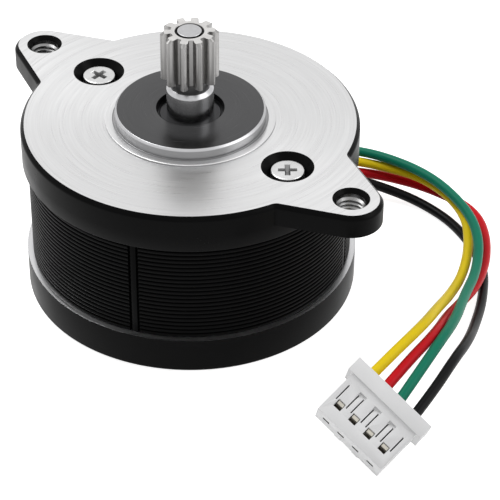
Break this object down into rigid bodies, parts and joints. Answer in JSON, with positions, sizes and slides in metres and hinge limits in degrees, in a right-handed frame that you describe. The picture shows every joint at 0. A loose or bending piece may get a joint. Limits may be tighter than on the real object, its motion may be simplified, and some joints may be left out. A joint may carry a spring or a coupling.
{
  "type": "stepper motor",
  "caption": "Round flat hybrid stepper motor with two threaded ears, a pinion on its shaft, and a coloured four-wire lead ending in a white crimp connector.",
  "frame": {"origin": "on the shaft's axis at the rear face, which the motor stands on", "axes": "+Z along the shaft, out of the front; +X through the ears; the wires leave at +Y"},
  "size_m": [0.0653, 0.0463, 0.0308],
  "materials": {
    "black_coated_case": "satin black coat over die-cast metal, machined bright on the front face and rear ledge",
    "black_laminations": "satin black coat over stacked steel laminations",
    "bright_steel": "ground and turned steel",
    "pinion_steel": "hobbed steel, satin",
    "bearing_steel": "polished bearing steel",
    "shield_steel": "pressed thin steel",
    "zinc_screw": "bright zinc plate",
    "electrical_steel": "plain laminated steel, ground on its teeth",
    "magnet": "dull grey sintered magnet",
    "insulator_nylon": "natural nylon",
    "copper_wire": "enamelled copper winding",
    "spring_steel": "spring steel strip",
    "grommet_rubber": "matt black rubber",
    "insulation_green": "soft glossy insulation",
    "insulation_yellow": "soft glossy insulation",
    "insulation_red": "soft glossy insulation",
    "insulation_black": "soft glossy insulation",
    "housing_nylon": "white moulded nylon",
    "tinned_bronze": "tinned spring bronze"
  },
  "bodies": {
    "motor_case": {"front_cap": "black_coated_case", "rear_cap": "black_coated_case", "stator_stack": "black_laminations", "front_insulator": "insulator_nylon", "rear_insulator": "insulator_nylon", "winding_phase_a": "copper_wire", "winding_phase_b": "copper_wire", "case_screws": "zinc_screw", "wave_washer": "spring_steel", "front_bearing_outer_race": "bearing_steel", "front_bearing_shields": "shield_steel", "rear_bearing_outer_race": "bearing_steel", "rear_bearing_shields": "shield_steel", "wire_grommet": "grommet_rubber", "wire_green": "insulation_green", "wire_yellow": "insulation_yellow", "wire_red": "insulation_red", "wire_black": "insulation_black", "connector_housing": "housing_nylon", "crimp_contacts": "tinned_bronze"},
    "rotor": {"rotor_shaft": "bright_steel", "rotor_cup_rear": "electrical_steel", "rotor_magnet": "magnet", "rotor_cup_front": "electrical_steel", "rear_spacer": "bright_steel", "front_spacer": "bright_steel", "pinion": "pinion_steel", "front_bearing_inner_race": "bearing_steel", "rear_bearing_inner_race": "bearing_steel"},
    "front_ball_set": {"front_bearing_balls": "bearing_steel", "front_bearing_cage": "shield_steel"},
    "rear_ball_set": {"rear_bearing_balls": "bearing_steel", "rear_bearing_cage": "shield_steel"}
  },
  "joints": [
    {"name": "rotor_spin", "type": "hinge", "parent": "motor_case", "child": "rotor", "pos_m": [0, 0, 0.01], "axis": [0, 0, 1], "continuous": true},
    {"name": "front_ball_set_spin", "type": "hinge", "parent": "motor_case", "child": "front_ball_set", "pos_m": [0, 0, 0.01925], "axis": [0, 0, 1], "continuous": true},
    {"name": "rear_ball_set_spin", "type": "hinge", "parent": "motor_case", "child": "rear_ball_set", "pos_m": [0, 0, 0.00235], "axis": [0, 0, 1], "continuous": true}
  ],
  "couplings": [
    {"joint": "front_ball_set_spin", "follows": "rotor_spin", "ratio": 0.4054},
    {"joint": "rear_ball_set_spin", "follows": "rotor_spin", "ratio": 0.4054}
  ]
}
